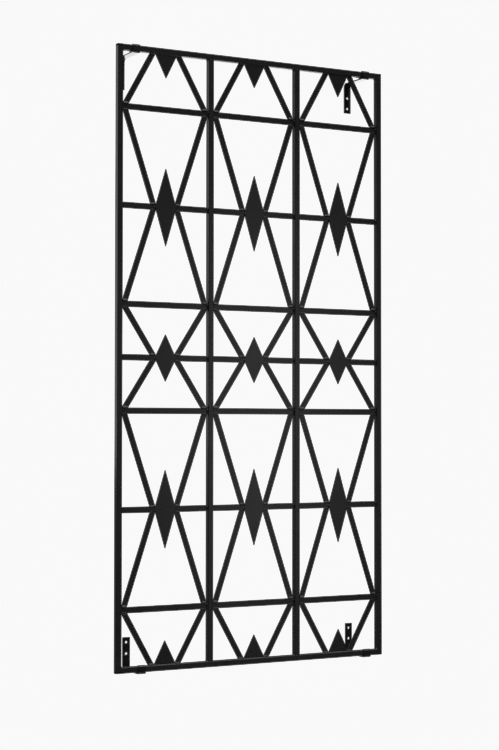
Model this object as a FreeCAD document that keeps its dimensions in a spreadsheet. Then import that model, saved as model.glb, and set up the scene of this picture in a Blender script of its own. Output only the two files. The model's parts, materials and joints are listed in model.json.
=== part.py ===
import FreeCAD, Part
import os
import Sketcher

# Wall trellis: a square tube frame with two mullions, filled with flat cross bars, slanting
# braces and cut plates, held off the wall by four strip brackets that hook round the rails.
# Millimetres. X runs to the viewer's right, Y towards the wall, Z up.
# The origin is on the wall, midway between the two screw holes of the upper left bracket.

doc = FreeCAD.newDocument("trellis")
sizes = doc.addObject("Spreadsheet::Sheet", "sizes")

DRIVING = [
    ("panel_width", 900, "outside width of the frame"),
    ("panel_height", 1800, "outside height of the frame"),
    ("tube_size", 16.5, "side of the square tube"),
    ("tube_wall", 1, "wall of the square tube"),
    ("tube_bend", 0.5, "inside radius of the tube's corners"),
    ("plug_head", 6, "head of an end plug beyond the tube"),
    ("plug_edge", 1.2, "rounding of a plug's outer rim"),
    ("plug_depth", 14, "length of an end plug inside the tube"),
    ("plug_clearance", 0.2, "gap round a plug inside the tube"),
    ("bar_height", 17, "height of a cross bar"),
    ("bar_depth", 4, "thickness of cross bars and braces"),
    ("brace_width", 16, "width of a brace across its length"),
    ("row_offset_1", 722, "outermost rows from the panel's middle"),
    ("row_offset_2", 437, "rows of the large diamonds from the middle"),
    ("row_offset_3", 153, "inner rows from the middle"),
    ("foot_gap", 1.8, "gap between a brace's wide end and the upright"),
    ("brace_at_diamond", 39, "brace centre line from the bay's middle at a diamond row"),
    ("brace_at_rail", 41.7, "brace centre line from the bay's middle at a frame rail"),
    ("plate_thickness", 3, "thickness of the cut plates"),
    ("diamond_half_width", 34, "half the width of every diamond"),
    ("large_half_height", 113, "half the height of a large diamond"),
    ("small_half_height", 68, "half the height of a small diamond"),
    ("triangle_half_base", 35, "half the base of a triangle"),
    ("triangle_height", 69, "height of a triangle"),
    ("strip_width", 23, "width of the bracket strip"),
    ("strip_thickness", 2.5, "thickness of the bracket strip"),
    ("bend_radius", 2, "inside radius of the hook's bends"),
    ("wall_bend_radius", 10, "inside radius of the bend at the wall"),
    ("lip_length", 8, "hook's upper lip, over the bend"),
    ("clip_slack", 2.5, "height of the hook beyond the rail"),
    ("clip_front_gap", 1, "gap between the rail's front and the hook"),
    ("seat_clearance", 0.2, "gap between the rail's top and the hook's lip"),
    ("stop_gap", 0.5, "gap between the rail's back and the stop"),
    ("stop_height", 10, "stop behind the rail, above the arm"),
    ("wall_gap", 90, "back of the frame to the wall"),
    ("flange_length", 93, "wall flange, over the bend"),
    ("screw_hole", 8, "diameter of a screw hole"),
    ("hole_spacing", 33, "between the two screw holes of a flange"),
    ("hole_end_margin", 14, "flange's free end to the nearer hole"),
    ("inset_upper_left", 57, "bracket's middle from the frame's left side"),
    ("inset_upper_right", 58, "bracket's middle from the frame's right side"),
    ("inset_lower_left", 80, "bracket's middle from the frame's left side"),
    ("inset_lower_right", 55, "bracket's middle from the frame's right side"),
]

BAYS = ["left", "centre", "right"]

# Lengths that follow from the driving ones.
DERIVED = [
    ("left_x", "-inset_upper_left", "frame's left side"),
    ("right_x", "left_x + panel_width", "frame's right side"),
    ("back_y", "-wall_gap", "back of the frame"),
    ("front_y", "back_y - tube_size", "front of the frame"),
    ("bar_back_y", "back_y - (tube_size - bar_depth) / 2", "back of the flat bars"),
    ("bar_front_y", "bar_back_y - bar_depth", "front of the flat bars"),
    ("arm_rise", "flange_length - hole_spacing / 2 - hole_end_margin", "holes' middle to the arm's outside"),
    ("hook_inside", "tube_size + clip_slack", "inside height of a hook"),
    ("top_z", "arm_rise + hook_inside - seat_clearance", "top of the frame"),
    ("bottom_z", "top_z - panel_height", "underside of the frame"),
    ("middle_z", "bottom_z + panel_height / 2", "middle of the frame"),
    ("lower_bracket_z", "bottom_z + tube_size + seat_clearance - hook_inside - strip_thickness + arm_rise",
     "middle of a lower bracket's screw holes"),
    ("tube_corner", "tube_bend + tube_wall", "outside radius of the tube's corners"),
    ("bay_pitch", "(panel_width - tube_size) / 3", "between the uprights' middles"),
    ("bay_clear", "bay_pitch - tube_size", "between two uprights"),
    ("foot_corner", "bay_clear / 2 - foot_gap", "brace's outer corner from the bay's middle"),
    ("hook_front", "-(wall_gap + tube_size + clip_front_gap + strip_thickness)", "front of a hook"),
    ("hook_inner", "hook_front + strip_thickness", "inner face of a hook's front"),
    ("lip_end", "hook_front + lip_length", "free end of a hook's lip"),
    ("stop_front", "-wall_gap + stop_gap", "front of a stop"),
    ("stop_back", "stop_front + strip_thickness", "back of a stop"),
]
for i, bay in enumerate(BAYS):
    DERIVED.append((f"bay_{bay}_x", f"left_x + tube_size / 2 + {i + 0.5} * bay_pitch", "middle of a bay"))

# The four kinds of cell, told apart by height. A brace leaves the upright's corner and ends beside
# a plate, so its angle follows from the cell's height and from how far it travels sideways.
CELLS = [
    ("end", "panel_height / 2 - row_offset_1 - bar_height / 2 - tube_size", "brace_at_rail"),
    ("outer", "row_offset_1 - row_offset_2 - bar_height", "brace_at_diamond"),
    ("inner", "row_offset_2 - row_offset_3 - bar_height", "brace_at_diamond"),
    ("middle", "row_offset_3 - bar_height", "brace_at_diamond"),
]
for cell, height, narrow in CELLS:
    run = f"(foot_corner - {narrow})"
    DERIVED.append((f"{cell}_height", height, "clear height of the cell"))
    length = f"sqrt({run} ^ 2 + {cell}_height ^ 2)"
    angle = f"acos(brace_width / 2 / {length}) - atan2({cell}_height; {run})"
    DERIVED.append((f"{cell}_angle", angle, "brace's angle from upright"))
    DERIVED.append((f"{cell}_cut", f"brace_width / cos({cell}_angle)", "length of the brace's level end cut"))

row = 1
for alias, value, note in DRIVING + DERIVED:
    sizes.set(f"A{row}", note)
    sizes.set(f"B{row}", f"={value}" if isinstance(value, str) else str(value))
    sizes.setAlias(f"B{row}", alias)
    row += 1
doc.recompute()

ALIASES = {alias for alias, _, _ in DRIVING + DERIVED}
NODES = []


def bound(text):
    """Puts the sheet's name before every alias of the sheet found in an expression."""
    word = ""
    out = ""
    for ch in text + " ":
        if ch.isalnum() or ch == "_":
            word += ch
            continue
        out += f"sizes.{word}" if word in ALIASES else word
        out += ch
        word = ""
    return out.strip()


def bind(obj, **properties):
    """Ties properties to expressions; a dot in a property's path is written as two underscores."""
    for name, text in properties.items():
        obj.setExpression(name.replace("__", "."), bound(text))


def place(obj, x="0", y="0", z="0"):
    bind(obj, Placement__Base__x=x, Placement__Base__y=y, Placement__Base__z=z)


def node(obj, label):
    obj.Label = label
    NODES.append(obj)
    return obj


def box(name, length, width, height, x, y, z):
    b = doc.addObject("Part::Box", name)
    bind(b, Length=length, Width=width, Height=height)
    place(b, x, y, z)
    return b


def group(label, members):
    compound = doc.addObject("Part::Compound", label)
    compound.Links = members
    return node(compound, label)


def outline(body, plane, name, points):
    """A closed sketch of straight lines; each corner is tied to a pair of expressions."""
    sketch = body.newObject("Sketcher::SketchObject", name)
    support = [f for f in body.Origin.OriginFeatures if f.Role == plane][0]
    sketch.AttachmentSupport = (support, [""])
    sketch.MapMode = "FlatFace"
    here = [(evaluate(x), evaluate(y)) for x, y in points]
    count = len(here)
    for i in range(count):
        a = FreeCAD.Vector(*here[i], 0)
        b = FreeCAD.Vector(*here[(i + 1) % count], 0)
        sketch.addGeometry(Part.LineSegment(a, b), False)
    for i in range(count):
        sketch.addConstraint(Sketcher.Constraint("Coincident", i, 2, (i + 1) % count, 1))
    for i, (x, y) in enumerate(points):
        pin(sketch, i, 1, "DistanceX", x, here[i][0], -2, f"x{i}")
        pin(sketch, i, 1, "DistanceY", y, here[i][1], -1, f"y{i}")
    return sketch


def pin(sketch, geometry, point, kind, text, value, axis, name):
    """Ties one coordinate of a point; a coordinate that is always nought is put on the axis."""
    if text == "0":
        sketch.addConstraint(Sketcher.Constraint("PointOnObject", geometry, point, axis))
        return
    sketch.addConstraint(Sketcher.Constraint(kind, -1, 1, geometry, point, value))
    sketch.renameConstraint(sketch.ConstraintCount - 1, name)
    sketch.setExpression(f"Constraints.{name}", bound(text))


def evaluate(text):
    """Today's value of an expression of the sheet, in millimetres."""
    result = sizes.evalExpression(bound(text))
    return float(getattr(result, "Value", result))


def bend(body, name, before, radius, corners, along="x"):
    """Rounds the straight edges that run along one axis, found by their place across it."""
    places = [(evaluate(a), evaluate(b)) for a, b in corners]
    across = [axis for axis in "xyz" if axis != along]
    names = []
    for i, edge in enumerate(before.Shape.Edges, 1):
        middle = [getattr(edge.CenterOfMass, axis) for axis in across]
        lengthwise = abs(getattr(edge.tangentAt(edge.FirstParameter), along)) > 0.99
        if lengthwise and any(abs(middle[0] - a) < 0.01 and abs(middle[1] - b) < 0.01 for a, b in places):
            names.append(f"Edge{i}")
    fillet = body.newObject("PartDesign::Fillet", name)
    fillet.Base = (before, names)
    bind(fillet, Radius=radius)
    doc.recompute()
    return fillet


def square(low, high):
    """The four corners of a square, given its lower and upper coordinate."""
    return [(low, low), (high, low), (high, high), (low, high)]


def pad(body, name, profile, length, reverse=False):
    feature = body.newObject("PartDesign::Pad", name)
    feature.Profile = profile
    feature.Reversed = reverse
    bind(feature, Length=length)
    doc.recompute()
    return feature


def tube(label, axis, length, x, z):
    """A length of square tube along X or Z, its left, lower end at x and z."""
    body = doc.addObject("PartDesign::Body", label)
    plane = "XY_Plane" if axis == "Z" else "YZ_Plane"
    outside = square("0", "tube_size")
    inside = square("tube_wall", "tube_size - tube_wall")
    bar = pad(body, label + "_bar", outline(body, plane, label + "_outside", outside), length)
    bend(body, label + "_corners", bar, "tube_corner", outside, axis.lower())
    bore = body.newObject("PartDesign::Pocket", label + "_bore")
    bore.Profile = outline(body, plane, label + "_inside", inside)
    bore.Reversed = True
    bind(bore, Length=length)
    doc.recompute()
    bend(body, label + "_inner_corners", bore, "tube_bend", inside, axis.lower())
    place(body, x, "front_y", z)
    return node(body, label)


def plug(name, end, x):
    """An end plug: a square head with a rounded rim that closes the stile, and a stem inside it."""
    body = doc.addObject("PartDesign::Body", name)
    outside = square("0", "tube_size")
    stem_in = "tube_wall + plug_clearance"
    stem_out = f"tube_size - ({stem_in})"
    head = pad(body, name + "_head", outline(body, "XY_Plane", name + "_outside", outside), "plug_head")
    corners = bend(body, name + "_corners", head, "tube_corner", outside, "z")
    height = evaluate("plug_head")
    rim = body.newObject("PartDesign::Fillet", name + "_rim")
    edges = enumerate(corners.Shape.Edges, 1)
    rim.Base = (corners, [f"Edge{i}" for i, edge in edges if edge.BoundBox.ZMin > height - 0.01])
    bind(rim, Radius="plug_edge")
    inside = square(stem_in, stem_out)
    stem_outline = outline(body, "XY_Plane", name + "_inside", inside)
    stem = pad(body, name + "_stem", stem_outline, "plug_depth", reverse=True)
    bend(body, name + "_stem_corners", stem, "tube_bend", inside, "z")
    if end == "upper":
        place(body, x, "front_y", "top_z - plug_head")
    else:
        body.Placement.Rotation = FreeCAD.Rotation(FreeCAD.Vector(1, 0, 0), 180)
        place(body, x, "back_y", "bottom_z + plug_head")
    return body


def plate(label, points, x, z):
    """A plate laid on the front of the flat bars."""
    body = doc.addObject("PartDesign::Body", label)
    pad(body, label + "_pad", outline(body, "XZ_Plane", label + "_outline", points), "plate_thickness")
    place(body, x, "bar_front_y", z)
    return node(body, label)


# Frame.
tube("stile_left", "Z", "panel_height - 2 * plug_head", "left_x", "bottom_z + plug_head")
tube("stile_right", "Z", "panel_height - 2 * plug_head", "right_x - tube_size", "bottom_z + plug_head")
tube("top_rail", "X", "panel_width - 2 * tube_size", "left_x + tube_size", "top_z - tube_size")
tube("bottom_rail", "X", "panel_width - 2 * tube_size", "left_x + tube_size", "bottom_z")
mullion_length = "panel_height - 2 * tube_size"
tube("mullion_left", "Z", mullion_length, "left_x + bay_pitch", "bottom_z + tube_size")
tube("mullion_right", "Z", mullion_length, "left_x + 2 * bay_pitch", "bottom_z + tube_size")

# End plugs, one at each end of both stiles.
plugs = []
for side, x in (("left", "left_x"), ("right", "right_x - tube_size")):
    for end in ("lower", "upper"):
        plugs.append(plug(f"plug_{end}_{side}", end, x))
group("end_plugs", plugs)

# Cross bars, row 1 uppermost.
ROWS = [f"middle_z + row_offset_{n}" for n in (1, 2, 3)]
ROWS += ["middle_z"]
ROWS += [f"middle_z - row_offset_{n}" for n in (3, 2, 1)]
for n, z in enumerate(ROWS, 1):
    bars = []
    for bay in BAYS:
        bars.append(box(f"cross_bar_{n}_{bay}", "bay_clear", "bar_depth", "bar_height",
                        f"bay_{bay}_x - bay_clear / 2", "bar_front_y", f"{z} - bar_height / 2"))
    group(f"cross_bars_row_{n}", bars)


def brace(name, side, cell, narrow, wide_end, x, z):
    """One slanting flat bar with level ends; side is -1 left of the bay's middle and 1 right of it."""
    w = doc.addObject("Part::Wedge", name)
    half = f"{cell}_cut / 2"
    wide = f"(foot_corner - {half})"
    ends = {"wide": wide, "narrow": narrow}
    low, high = ("wide", "narrow") if wide_end == "lower" else ("narrow", "wide")
    bind(w,
         Xmin=f"{side} * {ends[low]} - {half}", Xmax=f"{side} * {ends[low]} + {half}",
         X2min=f"{side} * {ends[high]} - {half}", X2max=f"{side} * {ends[high]} + {half}",
         Ymin="0", Ymax=f"{cell}_height",
         Zmin="0", Zmax="bar_depth", Z2min="0", Z2max="bar_depth")
    w.Placement.Rotation = FreeCAD.Rotation(FreeCAD.Vector(1, 0, 0), 90)
    place(w, x, "bar_back_y", z)
    return w


# Braces, cell by cell from the top: name, kind of cell, end at the uprights, lower edge.
half_bar = "bar_height / 2"
COLUMN = [
    ("top", "end", "lower", f"{ROWS[0]} + {half_bar}"),
    ("row_1_2", "outer", "upper", f"{ROWS[1]} + {half_bar}"),
    ("row_2_3", "inner", "lower", f"{ROWS[2]} + {half_bar}"),
    ("row_3_4", "middle", "upper", f"{ROWS[3]} + {half_bar}"),
    ("row_4_5", "middle", "lower", f"{ROWS[4]} + {half_bar}"),
    ("row_5_6", "inner", "upper", f"{ROWS[5]} + {half_bar}"),
    ("row_6_7", "outer", "lower", f"{ROWS[6]} + {half_bar}"),
    ("bottom", "end", "upper", "bottom_z + tube_size"),
]
NARROW = {cell: narrow for cell, _, narrow in CELLS}
for where, cell, wide_end, z in COLUMN:
    for bay in BAYS:
        pair = []
        for hand, side in (("l", -1), ("r", 1)):
            name = f"brace_{where}_{bay}_{hand}"
            pair.append(brace(name, side, cell, NARROW[cell], wide_end, f"bay_{bay}_x", z))
        group(f"braces_{where}_{bay}", pair)

# Cut plates on the front of the bars.
for n, height in ((2, "large_half_height"), (4, "small_half_height"), (6, "large_half_height")):
    rhombus = [("diamond_half_width", "0"), ("0", height)]
    rhombus += [("-diamond_half_width", "0"), ("0", f"-{height}")]
    for bay in BAYS:
        plate(f"diamond_row_{n}_{bay}", rhombus, f"bay_{bay}_x", ROWS[n - 1])
TRIANGLES = [
    ("top", "top_z - tube_size", "-triangle_height"),
    ("bottom", "bottom_z + tube_size", "triangle_height"),
]
for end, z, tip in TRIANGLES:
    triangle = [("triangle_half_base", "0"), ("0", tip), ("-triangle_half_base", "0")]
    for bay in BAYS:
        plate(f"triangle_{end}_{bay}", triangle, f"bay_{bay}_x", z)


def bracket(label, flange, x, z):
    """A strip bent into a hook round the rail, an arm and a wall flange, with a stop on the arm."""
    body = doc.addObject("PartDesign::Body", label)
    free_end = "hole_spacing / 2 + hole_end_margin"
    if flange == "down":
        free_end = f"-({free_end})"
    under = "arm_rise - strip_thickness" if flange == "down" else "-arm_rise"
    over = "arm_rise" if flange == "down" else "-arm_rise + strip_thickness"
    lip = f"{over} + hook_inside"
    lip_top = f"{lip} + strip_thickness"
    hook = [("lip_end", lip), ("lip_end", lip_top), ("hook_front", lip_top), ("hook_front", under)]
    arm = [("-strip_thickness", under), ("-strip_thickness", free_end), ("0", free_end), ("0", over)]
    if flange == "up":
        arm = [("0", under), ("0", free_end), ("-strip_thickness", free_end), ("-strip_thickness", over)]
    stop_top = f"{over} + stop_height"
    stop = [("stop_back", over), ("stop_back", stop_top), ("stop_front", stop_top), ("stop_front", over)]
    lining = [("hook_inner", over), ("hook_inner", lip)]
    profile = outline(body, "YZ_Plane", label + "_profile", hook + arm + stop + lining)
    strip = pad(body, label + "_strip", profile, "strip_width")
    wall_in, wall_out = (arm[0], arm[3]) if flange == "down" else (arm[3], arm[0])
    hollow = bend(body, label + "_hook_inside", strip, "bend_radius", lining)
    elbow = bend(body, label + "_elbow_inside", hollow, "wall_bend_radius", [wall_in])
    crook = bend(body, label + "_hook_outside", elbow, "bend_radius + strip_thickness", hook[2:])
    bend(body, label + "_elbow_outside", crook, "wall_bend_radius + strip_thickness", [wall_out])
    holes = body.newObject("Sketcher::SketchObject", label + "_holes")
    plane = [f for f in body.Origin.OriginFeatures if f.Role == "XZ_Plane"][0]
    holes.AttachmentSupport = (plane, [""])
    holes.MapMode = "FlatFace"
    for i, sign in enumerate(("", "-")):
        x_text = "strip_width / 2"
        z_text = f"{sign}hole_spacing / 2"
        middle = FreeCAD.Vector(evaluate(x_text), evaluate(z_text), 0)
        holes.addGeometry(Part.Circle(middle, FreeCAD.Vector(0, 0, 1), evaluate("screw_hole / 2")), False)
        pin(holes, i, 3, "DistanceX", x_text, middle.x, -2, f"x{i}")
        pin(holes, i, 3, "DistanceY", z_text, middle.y, -1, f"y{i}")
        holes.addConstraint(Sketcher.Constraint("Diameter", i, evaluate("screw_hole")))
        holes.renameConstraint(holes.ConstraintCount - 1, f"d{i}")
        holes.setExpression(f"Constraints.d{i}", bound("screw_hole"))
    pocket = body.newObject("PartDesign::Pocket", label + "_screw_holes")
    pocket.Profile = holes
    pocket.Reversed = True
    bind(pocket, Length="2 * strip_thickness")
    place(body, f"{x} - strip_width / 2", "0", z)
    return node(body, label)


bracket("bracket_upper_left", "down", "left_x + inset_upper_left", "0")
bracket("bracket_upper_right", "down", "right_x - inset_upper_right", "0")
bracket("bracket_lower_left", "up", "left_x + inset_lower_left", "lower_bracket_z")
bracket("bracket_lower_right", "up", "right_x - inset_lower_right", "lower_bracket_z")

doc.recompute()
for obj in doc.Objects:
    if "Invalid" in obj.State or "Error" in obj.State:
        raise RuntimeError(f"{obj.Label} did not build: {obj.State}")

os.makedirs("parts", exist_ok=True)
for obj in NODES:
    shape = obj.Shape
    if shape.isNull() or not shape.isValid():
        raise RuntimeError(f"{obj.Label} has no sound shape")
    shape.exportStep(f"parts/{obj.Label}.step")
print(len(NODES), "nodes written")
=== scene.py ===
# %% [markdown]
# # A wall trellis in black powder coat
# The object is a tall panel of square steel tube, filled with flat bars and cut plates. It is welded
# together, coated black and hung off a wall on four strip brackets that hook round its rails.
# The solids come from the CAD model and stay as they are. This lesson adds what a CAD model leaves
# out: the weld beads, the finishes, the light and the camera.

# %% Load the frame
import json
import math
import random

import bmesh
import bpy
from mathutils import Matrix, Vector


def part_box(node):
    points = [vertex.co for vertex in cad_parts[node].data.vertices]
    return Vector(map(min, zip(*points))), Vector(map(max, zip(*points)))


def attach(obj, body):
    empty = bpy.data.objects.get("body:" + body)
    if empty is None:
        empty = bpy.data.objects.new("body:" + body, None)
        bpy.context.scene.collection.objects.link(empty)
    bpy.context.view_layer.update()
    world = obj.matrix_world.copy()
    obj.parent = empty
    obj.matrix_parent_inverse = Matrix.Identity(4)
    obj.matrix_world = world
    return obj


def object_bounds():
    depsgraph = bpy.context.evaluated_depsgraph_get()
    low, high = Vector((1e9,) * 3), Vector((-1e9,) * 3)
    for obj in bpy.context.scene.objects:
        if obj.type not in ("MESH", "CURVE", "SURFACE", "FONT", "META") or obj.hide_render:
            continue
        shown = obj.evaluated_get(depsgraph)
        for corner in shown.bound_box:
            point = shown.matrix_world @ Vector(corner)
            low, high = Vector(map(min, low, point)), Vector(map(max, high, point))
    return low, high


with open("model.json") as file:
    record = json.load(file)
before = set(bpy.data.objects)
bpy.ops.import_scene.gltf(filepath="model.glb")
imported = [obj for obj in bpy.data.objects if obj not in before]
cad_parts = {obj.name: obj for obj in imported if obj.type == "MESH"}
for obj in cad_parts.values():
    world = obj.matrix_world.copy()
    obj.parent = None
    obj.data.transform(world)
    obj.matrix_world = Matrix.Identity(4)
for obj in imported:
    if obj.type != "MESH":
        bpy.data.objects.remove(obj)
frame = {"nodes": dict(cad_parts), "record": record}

MM = 0.001
scene = bpy.context.scene
cad_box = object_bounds()
cad_size = cad_box[1] - cad_box[0]
print("CAD box in mm:", [round(side / MM, 1) for side in cad_size])

# %% [markdown]
# ## Camera
# The photograph was taken from the panel's left, a little under half way up, with a long lens. The
# view was worked out from the panel's straight edges, so the lens is given in pixels of a picture
# that is 499 wide and 750 high. Blender measures a lens against the sensor's longer side, so one
# division turns pixels into millimetres. The place is in metres and the angles are in degrees.
# Nothing is shifted and nothing is out of focus.

# %% Camera at the photograph's view
IMAGE_HEIGHT_PX = 750
FOCAL_LENGTH_PX = 1742.9
SENSOR_MM = 36.0
CAMERA_PLACE = (-2.145, -4.6247, -1.0187)
CAMERA_ANGLES = (91.715, -0.052, -29.151)

camera_data = bpy.data.cameras.new("camera")
camera_data.sensor_width = SENSOR_MM
camera_data.lens = FOCAL_LENGTH_PX * SENSOR_MM / IMAGE_HEIGHT_PX
camera = bpy.data.objects.new("camera", camera_data)
camera.location = CAMERA_PLACE
camera.rotation_euler = [math.radians(angle) for angle in CAMERA_ANGLES]
scene.collection.objects.link(camera)
scene.camera = camera
print("lens in mm:", round(camera_data.lens, 2))

# %% [markdown]
# ## Colours and nodes
# Colours are written as the hex values that a paint chart or a picture editor shows. Shaders work in
# linear light, so one function converts them. A second small function adds a node, sets it up and
# links it: a value goes on the socket itself, and another node's output is linked to it.

# %% Helpers for colours and nodes
def linear(hex_colour):
    """Turns an sRGB hex colour into linear red, green, blue and alpha."""
    channels = [int(hex_colour[i:i + 2], 16) / 255 for i in (1, 3, 5)]
    return [c / 12.92 if c <= 0.04045 else ((c + 0.055) / 1.055) ** 2.4 for c in channels] + [1.0]


def add_node(tree, kind, settings=None, inputs=None):
    """Adds a node; each input is given a value, or the output of another node to link to."""
    node = tree.nodes.new(kind)
    for name, value in (settings or {}).items():
        setattr(node, name, value)
    for socket, value in (inputs or {}).items():
        if isinstance(value, bpy.types.NodeSocket):
            tree.links.new(value, node.inputs[socket])
        else:
            node.inputs[socket].default_value = value
    return node


print("mid grey in linear light:", round(linear("#808080")[0], 3))

# %% [markdown]
# ## Studio
# Black paint with a sheen has hardly any colour of its own: what the eye sees is the room in it. So
# each part of the room is placed for the faces that mirror it. The fronts mirror the viewer's side,
# which is dark, with one weak fill light that makes the soft bright patch in the panel's middle, and a
# paler wall above it for the top rail. The left faces mirror what is behind the panel on the left, and
# only the outermost stile finds a soft box there. The brackets' undersides mirror the sweep behind the
# panel, the top rail's welds look down at the floor, and the other beads mirror the light overhead.

# %% Pale floor
FLOOR_DROP = 0.60
FLOOR_RADIUS = 1.3
FLOOR_SIDES = 128

floor_mesh = bpy.data.meshes.new("studio_floor")
disc = bmesh.new()
bmesh.ops.create_circle(disc, cap_ends=True, segments=FLOOR_SIDES, radius=FLOOR_RADIUS)
disc.to_mesh(floor_mesh)
disc.free()
floor = bpy.data.objects.new("studio_floor", floor_mesh)
middle = (cad_box[0] + cad_box[1]) / 2
floor.location = (middle.x, middle.y, cad_box[0].z - FLOOR_DROP)
scene.collection.objects.link(floor)

paper = bpy.data.materials.new("matt_pale_paper")
paper.use_nodes = True
paper_shader = paper.node_tree.nodes["Principled BSDF"]
paper_shader.inputs["Base Color"].default_value = linear("#CFCFCF")
paper_shader.inputs["Roughness"].default_value = 0.9
paper_shader.inputs["Specular IOR Level"].default_value = 0.0
floor_mesh.materials.append(paper)
print("floor in mm below the part:", round(FLOOR_DROP / MM))

# %% Overhead light
OVERHEAD_STRENGTH = 4.7
OVERHEAD_SPREAD = 80
OVERHEAD_PLACE = (0.4, -0.9, 3.0)
OVERHEAD_TARGET = (0.4, -0.1, 0.0)


def aim(lamp, place, target):
    """Puts a lamp at a place and turns it to face a target."""
    lamp.location = place
    lamp.rotation_euler = (Vector(target) - Vector(place)).to_track_quat("-Z", "Y").to_euler()
    scene.collection.objects.link(lamp)


overhead_data = bpy.data.lights.new("overhead_light", "SUN")
overhead_data.energy = OVERHEAD_STRENGTH
overhead_data.angle = math.radians(OVERHEAD_SPREAD)
overhead = bpy.data.objects.new("overhead_light", overhead_data)
aim(overhead, OVERHEAD_PLACE, OVERHEAD_TARGET)
print("overhead light tilted by degrees:", round(math.degrees(overhead.rotation_euler.x), 1))

# %% Soft box and fill
# Name, outline, width, height, radiance, place and target. Lengths are in metres.
AREA_LAMPS = [
    ("soft_box_left_behind", "RECTANGLE", 0.55, 1.75, 1.6, (-0.68, 0.9, -0.26), (0.10, -0.8, -0.26)),
    ("weak_fill_in_front", "ELLIPSE", 0.85, 2.2, 0.76, (2.07, -3.1, -0.9), (0.4, -0.1, -0.9)),
]


def area_lamp(name, shape, width, height, radiance):
    """A glowing panel. Its power follows from its area and from how bright it looks."""
    data = bpy.data.lights.new(name, "AREA")
    data.shape = shape
    data.size = width
    data.size_y = height
    area = width * height * (math.pi / 4 if shape == "ELLIPSE" else 1.0)
    data.energy = math.pi * area * radiance
    lamp = bpy.data.objects.new(name, data)
    lamp.visible_camera = False
    print(name, "power in W:", round(data.energy, 2))
    return lamp


for name, shape, width, height, radiance, place, target in AREA_LAMPS:
    aim(area_lamp(name, shape, width, height, radiance), place, target)

# %% Glows on the walls
BASE = 0.07
# Name, azimuth from +Y towards +X, elevation, inner and outer radius in degrees, radiance added.
GLOWS = [
    ("wall behind on the left", -35, 20, 14, 36, 0.25),
    ("sweep behind, under eye level", 29, -15, 8, 21, 3.1),
    ("wall in front, above", 151, 25, 12, 17, 0.16),
]

room = bpy.data.worlds.new("studio_room")
scene.world = room
room.use_nodes = True
tree = room.node_tree
tree.nodes.clear()
direction = add_node(tree, "ShaderNodeTexCoord").outputs["Generated"]
total = BASE
for name, azimuth, elevation, inner, outer, radiance in GLOWS:
    east = math.radians(azimuth)
    up = math.radians(elevation)
    axis = (math.sin(east) * math.cos(up), math.cos(east) * math.cos(up), math.sin(up))
    facing = add_node(tree, "ShaderNodeVectorMath", {"operation": "DOT_PRODUCT"},
                      {0: direction, 1: axis})
    glow = add_node(tree, "ShaderNodeMapRange", {"interpolation_type": "SMOOTHSTEP"},
                    {"Value": facing.outputs["Value"], "From Min": math.cos(math.radians(outer)),
                     "From Max": math.cos(math.radians(inner)), "To Max": radiance})
    total = add_node(tree, "ShaderNodeMath", {"operation": "ADD"},
                     {0: glow.outputs["Result"], 1: total}).outputs["Value"]
    print("glow:", name, radiance)

# %% Walls and backdrop
BACKDROP = "#F9F9F9"

walls = add_node(tree, "ShaderNodeBackground", inputs={"Strength": total})
backdrop = add_node(tree, "ShaderNodeBackground", inputs={"Color": linear(BACKDROP), "Strength": 1.0})
seen = add_node(tree, "ShaderNodeLightPath").outputs["Is Camera Ray"]
both = add_node(tree, "ShaderNodeMixShader",
                inputs={0: seen, 1: walls.outputs["Background"], 2: backdrop.outputs["Background"]})
add_node(tree, "ShaderNodeOutputWorld", inputs={"Surface": both.outputs["Shader"]})
print("room made of", len(tree.nodes), "nodes")

# %% [markdown]
# ## Tone curve
# A picture of a product on white is often finished with a steep tone curve. Dark tones keep their
# place, white stays white, and what lies between is pulled down. So the pixels that a thin bar half
# covers come out darker, and the bar keeps its weight in a small picture. The points are in linear
# light, and the middle one is what makes the curve steep.

# %% Steeper middle tones
TONES = [(0.05, 0.05), (0.48, 0.24), (0.947, 0.947)]
ALL_CHANNELS = 3
SAMPLE = 0.25

view = scene.view_settings
view.view_transform = "Standard"
view.use_curve_mapping = True
tone_curve = view.curve_mapping.curves[ALL_CHANNELS]
for light, shown in TONES:
    tone_curve.points.new(light, shown).handle_type = "VECTOR"
view.curve_mapping.update()
print("light", SAMPLE, "is shown as:", round(view.curve_mapping.evaluate(tone_curve, SAMPLE), 3))

# %% [markdown]
# ## Powder coat
# The steel is sprayed with dry polyester powder and baked, so the paint melts into a thick skin with
# a satin sheen. It flows a little before it sets, which leaves the fine waviness that painters call
# orange peel. Real orange peel is 2 to 4 mm from crest to crest; here it is drawn at 7 mm, because a
# pixel of the picture covers about 3 mm. Grit, the grains that didn't quite melt, is a few tenths of a
# millimetre wide and is drawn at 1.6 mm. The sheen also drifts over some 90 mm, with the sweep of the
# spray gun. Steel under paint shows no metal, so the shader stays a plastic with the usual index of
# 1.5. The brackets have a glossier enamel, which makes their flanges look blacker than the panel.

# %% Paint with orange peel
PEEL_MM = 7.0
PEEL_HEIGHT_MM = 0.03
PEEL_DETAIL = 1.0
GRIT_MM = 1.6
GRIT_HEIGHT_MM = 0.006
GRIT_DETAIL = 2.0
CLOUD_MM = 90.0
CLOUD_DETAIL = 3.0
NOISE_LOW = 0.3
NOISE_HIGH = 0.7
# A mix node has sockets of the same names for numbers and for colours, so colours go by position.
COLOUR_A = 6
COLOUR_B = 7
COLOUR_OUT = 2


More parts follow.
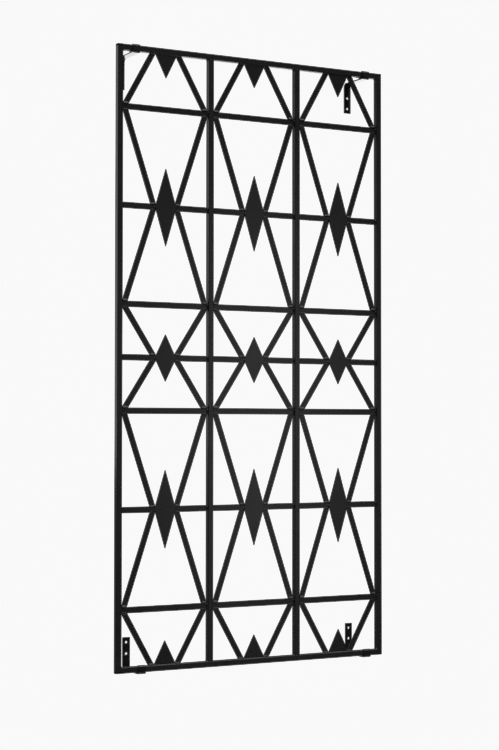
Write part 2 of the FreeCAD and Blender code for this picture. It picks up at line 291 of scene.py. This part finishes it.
def powder_coat(name, deep, pale, smooth, rough):
    """Black paint that drifts between two colours and two roughnesses, with orange peel and grit."""
    material = bpy.data.materials.new(name)
    material.use_nodes = True
    tree = material.node_tree
    shader = tree.nodes["Principled BSDF"]
    place = add_node(tree, "ShaderNodeTexCoord").outputs["Object"]
    cloud = add_node(tree, "ShaderNodeTexNoise",
                     inputs={"Vector": place, "Scale": 1 / (CLOUD_MM * MM), "Detail": CLOUD_DETAIL})
    tone = add_node(tree, "ShaderNodeMix", {"data_type": "RGBA"},
                    {0: cloud.outputs["Fac"], COLOUR_A: linear(deep), COLOUR_B: linear(pale)})
    sheen = add_node(tree, "ShaderNodeMapRange",
                     inputs={"Value": cloud.outputs["Fac"], "From Min": NOISE_LOW,
                             "From Max": NOISE_HIGH, "To Min": smooth, "To Max": rough})
    peel = add_node(tree, "ShaderNodeTexNoise",
                    inputs={"Vector": place, "Scale": 1 / (PEEL_MM * MM), "Detail": PEEL_DETAIL})
    grit = add_node(tree, "ShaderNodeTexNoise",
                    inputs={"Vector": place, "Scale": 1 / (GRIT_MM * MM), "Detail": GRIT_DETAIL})
    fine = add_node(tree, "ShaderNodeBump",
                    inputs={"Height": grit.outputs["Fac"], "Distance": GRIT_HEIGHT_MM * MM})
    wavy = add_node(tree, "ShaderNodeBump",
                    inputs={"Height": peel.outputs["Fac"], "Distance": PEEL_HEIGHT_MM * MM,
                            "Normal": fine.outputs["Normal"]})
    tree.links.new(tone.outputs[COLOUR_OUT], shader.inputs["Base Color"])
    tree.links.new(sheen.outputs["Result"], shader.inputs["Roughness"])
    tree.links.new(wavy.outputs["Normal"], shader.inputs["Normal"])
    return material


print("peel, grit and drift in mm:", PEEL_MM, GRIT_MM, CLOUD_MM)

# %% Three coats
frame_paint = powder_coat("black_powder_coat_on_tube", "#101010", "#181818",
                          smooth=0.24, rough=0.32)
plate_paint = powder_coat("black_powder_coat_on_plate", "#131313", "#1A1A1A",
                          smooth=0.22, rough=0.30)
bracket_paint = powder_coat("gloss_black_enamel_on_strip", "#101010", "#181818",
                            smooth=0.07, rough=0.12)
print("coats:", frame_paint.name, plate_paint.name, bracket_paint.name)

# %% [markdown]
# ## Plug plastic
# The stiles are closed with caps of moulded black polyethylene. A mould for such caps is left with a
# fine spark-eroded grain of about 0.1 mm, drawn here at 1.2 mm. It scatters the reflections, so the
# plastic is dull, and next to the paint it looks a shade darker.

# %% Moulded black plastic
GRAIN_MM = 1.2
GRAIN_HEIGHT_MM = 0.02
GRAIN_DETAIL = 2.0
PLASTIC_DEEP = "#0E0E0E"
PLASTIC_PALE = "#161616"

plug_plastic = bpy.data.materials.new("moulded_black_polyethylene")
plug_plastic.use_nodes = True
tree = plug_plastic.node_tree
shader = tree.nodes["Principled BSDF"]
place = add_node(tree, "ShaderNodeTexCoord").outputs["Object"]
grain = add_node(tree, "ShaderNodeTexNoise",
                 inputs={"Vector": place, "Scale": 1 / (GRAIN_MM * MM), "Detail": GRAIN_DETAIL})
tone = add_node(tree, "ShaderNodeMix", {"data_type": "RGBA"},
                {0: grain.outputs["Fac"], COLOUR_A: linear(PLASTIC_DEEP),
                 COLOUR_B: linear(PLASTIC_PALE)})
relief = add_node(tree, "ShaderNodeBump",
                  inputs={"Height": grain.outputs["Fac"], "Distance": GRAIN_HEIGHT_MM * MM})
tree.links.new(tone.outputs[COLOUR_OUT], shader.inputs["Base Color"])
tree.links.new(relief.outputs["Normal"], shader.inputs["Normal"])
shader.inputs["Roughness"].default_value = 0.8
shader.inputs["Specular IOR Level"].default_value = 0.05
print("plastic:", plug_plastic.name)

# %% [markdown]
# ## Finishes on the CAD nodes
# The record names a material slot for every node. The imported nodes keep their meshes, and their
# slot is filled with the finish of that name.

# %% Fill the slots
FINISHES = {"frame_paint": frame_paint, "plate_paint": plate_paint,
            "bracket_paint": bracket_paint, "plug_plastic": plug_plastic}

slot_of = {part["node"]: part["material_slot"] for part in frame["record"]["subparts"]}
for name, piece in frame["nodes"].items():
    piece.material_slots[0].material = FINISHES[slot_of[name]]
for slot in FINISHES:
    print(slot, "on", list(slot_of.values()).count(slot), "nodes")

# %% [markdown]
# ## Where the welds are
# Every bar end is welded, front and back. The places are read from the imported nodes, so a bead sits
# on its joint whatever the sizes are. A cross bar gives the height of its row, the uprights give the
# sides of each bay, and the corners of a brace give the width of its level end cut.

# %% Rows, bays and brace ends
BAYS = ["left", "centre", "right"]
CELLS = ["top", "row_1_2", "row_2_3", "row_3_4", "row_4_5", "row_5_6", "row_6_7", "bottom"]
UPRIGHTS = ["stile_left", "mullion_left", "mullion_right", "stile_right"]
ROW_COUNT = 7
DIAMOND_ROWS = [2, 4, 6]
TOUCH = 0.05 * MM

bay_sides = {}
for number, bay in enumerate(BAYS):
    left_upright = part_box(UPRIGHTS[number])
    right_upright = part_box(UPRIGHTS[number + 1])
    bay_sides[bay] = (left_upright[1].x, right_upright[0].x)
rows = {number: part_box(f"cross_bars_row_{number}") for number in range(1, ROW_COUNT + 1)}
bar_front = rows[1][0].y
bar_back = rows[1][1].y


def brace_ends(cell, bay, level):
    """The left and right limits of both braces of a cell where they end, at a height."""
    corners = frame["nodes"][f"braces_{cell}_{bay}"].data.vertices
    centre = sum(bay_sides[bay]) / 2
    at_level = [corner.co.x for corner in corners if abs(corner.co.z - level) < TOUCH]
    left = [x for x in at_level if x < centre]
    right = [x for x in at_level if x > centre]
    return [(min(left), max(left)), (min(right), max(right))]


print("bays in mm:", {bay: round((b - a) / MM, 1) for bay, (a, b) in bay_sides.items()})
print("brace ends over row 1, mm:", [[round(x / MM, 1) for x in end]
                                     for end in brace_ends("top", "left", rows[1][1].z)])

# %% [markdown]
# ## Weld beads
# A bead is a row of little frozen puddles, each laid over the one before. It could be a bump in the
# paint, but then its outline would stay flat from the side. Here it is a mesh: a low arch between two
# toes is carried along the joint, swells once for each puddle and shrinks at both ends. Real puddles
# are 1 to 1.5 mm apart; these are 2.2 mm, so that they still show. No bead is quite as wide or as high
# as the next, and no puddle as large, as if laid by hand.

# %% One bead
PUDDLE = 2.2 * MM
FEWEST_PUDDLES = 3
ARCH_STEPS = 6
MIDWAY = 0.5
# The toes are sunk a little into the steel and the root lies deeper, so that no gap shows.
SINK = 0.15 * MM
ROOT = 0.45 * MM
# A puddle's swelling, how much beads and puddles differ, and how a bead starts small at each end.
SWELL = 0.06
BEAD_SPREAD = 0.15
PUDDLE_SPREAD = 0.04
END_SIZE = 0.25
END_RUN = 1.5 * PUDDLE
SEED = 7
hand = random.Random(SEED)


def by_hand(spread):
    """A factor near 1, up to the spread larger or smaller."""
    return hand.uniform(1 - spread, 1 + spread)


def bead(mesh, start, end, toe_a, toe_b, crown, peak):
    """Adds a bead from start to end. The toes and the crown are offsets from the joint's line, and
    the peak is the crown's place between the toes."""
    out = crown.normalized()
    run = end - start
    steps = 2 * max(FEWEST_PUDDLES, round(run.length / PUDDLE))
    width = by_hand(BEAD_SPREAD)
    height = by_hand(BEAD_SPREAD)
    rise = crown - (toe_a + toe_b) / 2
    rings = []
    for step in range(steps + 1):
        along = step / steps
        nearest_end = min(along, 1 - along) * run.length
        taper = min(1.0, END_SIZE + nearest_end / END_RUN)
        swell = taper * (1 + SWELL if step % 2 else 1 - SWELL) * by_hand(PUDDLE_SPREAD)
        centre = start + run * along
        ring = [mesh.verts.new(centre - out * ROOT)]
        for k in range(ARCH_STEPS + 1):
            u = k / ARCH_STEPS
            chord = toe_a.lerp(toe_b, u) * width
            # The share v runs from 0 to 1 and is a half at the peak, where the parabola reaches 1.
            v = u / peak / 2 if u < peak else 1 - (1 - u) / (1 - peak) / 2
            arch = chord + rise * 4 * v * (1 - v) * height
            ring.append(mesh.verts.new(centre + arch * swell - out * SINK))
        rings.append(ring)
    count = len(rings[0])
    for ring, following in zip(rings, rings[1:]):
        for k in range(count):
            mesh.faces.new((ring[k], ring[(k + 1) % count], following[(k + 1) % count], following[k]))
    mesh.faces.new(list(reversed(rings[0])))
    mesh.faces.new(rings[-1])


print("puddles in mm:", round(PUDDLE / MM, 1))

# %% A piece of many beads
def weld_piece(name, beads):
    """Makes one object of a list of beads; it moves with the panel and has the panel's paint."""
    mesh = bmesh.new()
    for start, end, toe_a, toe_b, crown, peak in beads:
        bead(mesh, Vector(start), Vector(end), Vector(toe_a), Vector(toe_b), Vector(crown), peak)
    bmesh.ops.recalc_face_normals(mesh, faces=mesh.faces)
    data = bpy.data.meshes.new(name)
    mesh.to_mesh(data)
    mesh.free()
    data.polygons.foreach_set("use_smooth", [True] * len(data.polygons))
    data.materials.append(frame_paint)
    piece = bpy.data.objects.new(name, data)
    scene.collection.objects.link(piece)
    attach(piece, "panel")
    print(name, "beads", len(beads), "faces", len(data.polygons))


print("weld pieces are coated with:", frame_paint.name)

# %% [markdown]
# ## Beads on the cross bars
# The braces butt on the narrow edges of the cross bars, face to face, so their beads lie across the
# joint. The one above a bar is broad and has sagged towards the bar, so its upper face looks up, and
# it is what catches the light in the photograph. Beside a diamond there is less room, and it is
# smaller. The one below a bar is flat. Where a bar meets an upright, its flat face runs into the
# tube's side, and the bead fills that corner.

# %% Forms of bead
# The planes of the bars' front and back, each with the sign of the way out.
SIDES = [(bar_front, -1), (bar_back, 1)]
PLATE_CLEAR = 33 * MM
BAR_LEG = 3.0 * MM
INSET = 1.0 * MM
ROUND = 0.62
# Reach below and above the joint, height, and the crown's place between the two toes.
SAGGING = (2.0 * MM, 6.5 * MM, 3.4 * MM, 0.26)
BESIDE_PLATE = (2.0 * MM, 5.0 * MM, 2.3 * MM, 0.26)
FLAT = (4.0 * MM, 2.5 * MM, 0.7 * MM, MIDWAY)


def flat_bead(x_from, x_to, face, level, form):
    """A bead across a joint between two bars in one plane; face is a plane and its outward sign."""
    y, sign = face
    below, above, height, peak = form
    return ((x_from, y, level), (x_to, y, level), (0, 0, -below), (0, 0, above),
            (0, sign * height, (above - below) / 2), peak)


def corner_bead(start, end, leg_a, leg_b, fullness=ROUND):
    """A bead in the corner between two faces; the legs run from the corner along each face, and a
    fullness of a half is flat."""
    crown = (Vector(leg_a) + Vector(leg_b)) * fullness
    return (start, end, leg_a, leg_b, crown, MIDWAY)


def clear_of_plate(x_from, x_to, centre):
    """Cuts a brace's end back to the part that the diamond in front of it leaves free."""
    if x_to < centre:
        return x_from, min(x_to, centre - PLATE_CLEAR)
    return max(x_from, centre + PLATE_CLEAR), x_to


print("beads rise in mm:", [round(form[2] / MM, 1) for form in (SAGGING, BESIDE_PLATE, FLAT)])

# %% Beads row by row
for number, (low, high) in rows.items():
    has_diamonds = number in DIAMOND_ROWS
    joints = [(CELLS[number - 1], high.z, BESIDE_PLATE if has_diamonds else SAGGING),
              (CELLS[number], low.z, FLAT)]
    beads = []
    for bay in BAYS:
        left_side, right_side = bay_sides[bay]
        centre = (left_side + right_side) / 2
        for face in SIDES:
            covered = has_diamonds and face[1] < 0
            for cell, level, form in joints:
                for x_from, x_to in brace_ends(cell, bay, level):
                    if covered:
                        x_from, x_to = clear_of_plate(x_from, x_to, centre)
                    beads.append(flat_bead(x_from, x_to, face, level, form))
            for x, inward in ((left_side, 1), (right_side, -1)):
                beads.append(corner_bead((x, face[0], low.z + INSET), (x, face[0], high.z - INSET),
                                         (inward * BAR_LEG, 0, 0), (0, face[1] * BAR_LEG, 0)))
    weld_piece(f"welds_row_{number}", beads)

# %% [markdown]
# ## Beads on the rails
# The outermost braces and the triangles end on the square tube of the rails. The tube is deeper than
# the bars, so these beads lie in the corner between a bar's face and the tube. Under the top rail they
# spread along the tube; on the bottom rail they climb the brace's foot.

# %% Beads along the top and bottom rails
# Rail, its cell, the way into the cell, then a brace bead's legs on the rail and on the brace and
# the leg of a triangle's bead.
RAIL_BEADS = [
    ("top_rail", "top", -1, 4.2 * MM, 3.4 * MM, 1.8 * MM),
    ("bottom_rail", "bottom", 1, 2.4 * MM, 5.5 * MM, 1.0 * MM),
]
NEARLY_FLAT = 0.54

for rail, cell, up, rail_leg, brace_leg, triangle_leg in RAIL_BEADS:
    low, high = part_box(rail)
    level = low.z if up < 0 else high.z
    beads = []
    for bay in BAYS:
        for x_from, x_to in brace_ends(cell, bay, level):
            for y, sign in SIDES:
                beads.append(corner_bead((x_from, y, level), (x_to, y, level), (0, sign * rail_leg, 0),
                                         (0, 0, up * brace_leg), NEARLY_FLAT))
        plate_low, plate_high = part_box(f"triangle_{cell}_{bay}")
        beads.append(corner_bead((plate_low.x, plate_low.y, level), (plate_high.x, plate_low.y, level),
                                 (0, -triangle_leg, 0), (0, 0, up * triangle_leg), NEARLY_FLAT))
    weld_piece(f"welds_{rail}", beads)

# %% [markdown]
# ## Tacks on the diamonds
# A diamond is held by a short tack at each of its side tips, on the front of the cross bar.

# %% Tacks
TACK_LENGTH = 6.0 * MM
TACK_LEG = 3.2 * MM
TACK_RISE = 2.2 * MM

tacks = []
for number in DIAMOND_ROWS:
    level = (rows[number][0].z + rows[number][1].z) / 2
    for bay in BAYS:
        plate_low, plate_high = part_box(f"diamond_row_{number}_{bay}")
        for x, outward in ((plate_low.x, -1), (plate_high.x, 1)):
            foot = (x, bar_front, level - TACK_LENGTH / 2)
            head = (x, bar_front, level + TACK_LENGTH / 2)
            tacks.append(corner_bead(foot, head, (outward * TACK_LEG, 0, 0), (0, -TACK_RISE, 0)))
weld_piece("welds_diamond_tips", tacks)

# %% [markdown]
# ## Beads in the frame
# The rails are welded between the stiles, and the mullions between the rails. Inside each corner is a
# small bead. On the front and the back, the groove that the tube's round corners leave at the joint
# is filled level with the tube and ground smooth.

# %% Corners of the frame
CORNER_LEG = 3.5 * MM
GROOVE_HALF = 1.5 * MM

top_low, top_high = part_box("top_rail")
bottom_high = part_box("bottom_rail")[1]
tube_front, tube_back = top_low.y, top_high.y
inner_front, inner_back = tube_front + GROOVE_HALF, tube_back - GROOVE_HALF
beads = []
for level, up in ((top_low.z, -1), (bottom_high.z, 1)):
    for bay in BAYS:
        for x, inward in zip(bay_sides[bay], (1, -1)):
            beads.append(corner_bead((x, inner_front, level), (x, inner_back, level),
                                     (inward * CORNER_LEG, 0, 0), (0, 0, up * CORNER_LEG)))
print("beads in inner corners:", len(beads))

# %% Seams on the front and the back
GROOVE_DEPTH = 0.9 * MM
PROUD = 0.15 * MM

stile_low, stile_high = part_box("stile_left")
for y, sign in ((tube_front, -1), (tube_back, 1)):
    groove_y = y - sign * GROOVE_DEPTH
    rise = sign * (GROOVE_DEPTH + PROUD)
    for x in (top_low.x, top_high.x):
        for low, high in ((top_low.z, stile_high.z), (stile_low.z, bottom_high.z)):
            beads.append(((x, groove_y, low + INSET), (x, groove_y, high - INSET),
                          (-GROOVE_HALF, 0, 0), (GROOVE_HALF, 0, 0), (0, rise, 0), MIDWAY))
    for name in ("mullion_left", "mullion_right"):
        low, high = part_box(name)
        for level in (low.z, high.z):
            beads.append(((low.x + INSET, groove_y, level), (high.x - INSET, groove_y, level),
                          (0, 0, -GROOVE_HALF), (0, 0, GROOVE_HALF), (0, rise, 0), MIDWAY))
weld_piece("welds_frame", beads)
